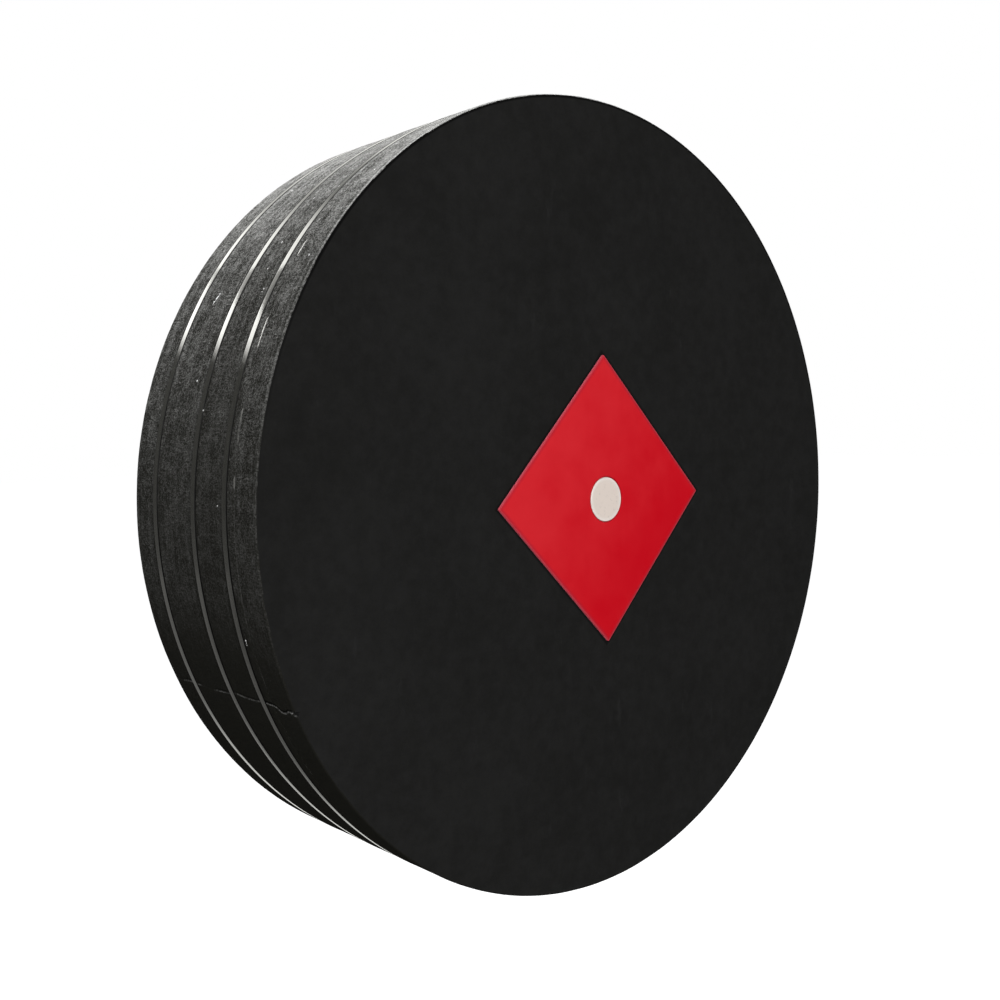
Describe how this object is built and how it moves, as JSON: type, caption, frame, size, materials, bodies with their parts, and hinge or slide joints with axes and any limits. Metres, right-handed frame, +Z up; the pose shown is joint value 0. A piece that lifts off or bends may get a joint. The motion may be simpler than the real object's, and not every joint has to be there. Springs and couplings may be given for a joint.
{
  "type": "archery target boss",
  "caption": "Thick round foam target boss: laminated black discs bound at the rim by flush glossy straps, with a red aiming diamond and a white dot in the middle of its front face.",
  "frame": {"origin": "centre of the back face", "axes": "+Y along the boss's axis and out of the back face, away from the archer, so the shot face looks along -Y; +Z up, with the diamond standing on its corner; +X to the archer's right"},
  "size_m": [0.8, 0.225, 0.8],
  "materials": {
    "foam": "matte",
    "glue": "satin",
    "strap": "gloss",
    "adhesive": "satin",
    "red_sheet": "satin",
    "white_sheet": "satin"
  },
  "bodies": {
    "root": {"front_foam_sheet": "foam", "front_sheet_glue": "glue", "front_backing_sheet": "foam", "front_joint_glue": "glue", "second_foam_slab": "foam", "middle_joint_glue": "glue", "third_foam_slab": "foam", "back_joint_glue": "glue", "back_foam_slab": "foam", "front_rim_strap": "strap", "middle_rim_strap": "strap", "back_rim_strap": "strap", "mark_adhesive": "adhesive", "aiming_diamond": "red_sheet", "aiming_dot": "white_sheet"}
  },
  "joints": []
}
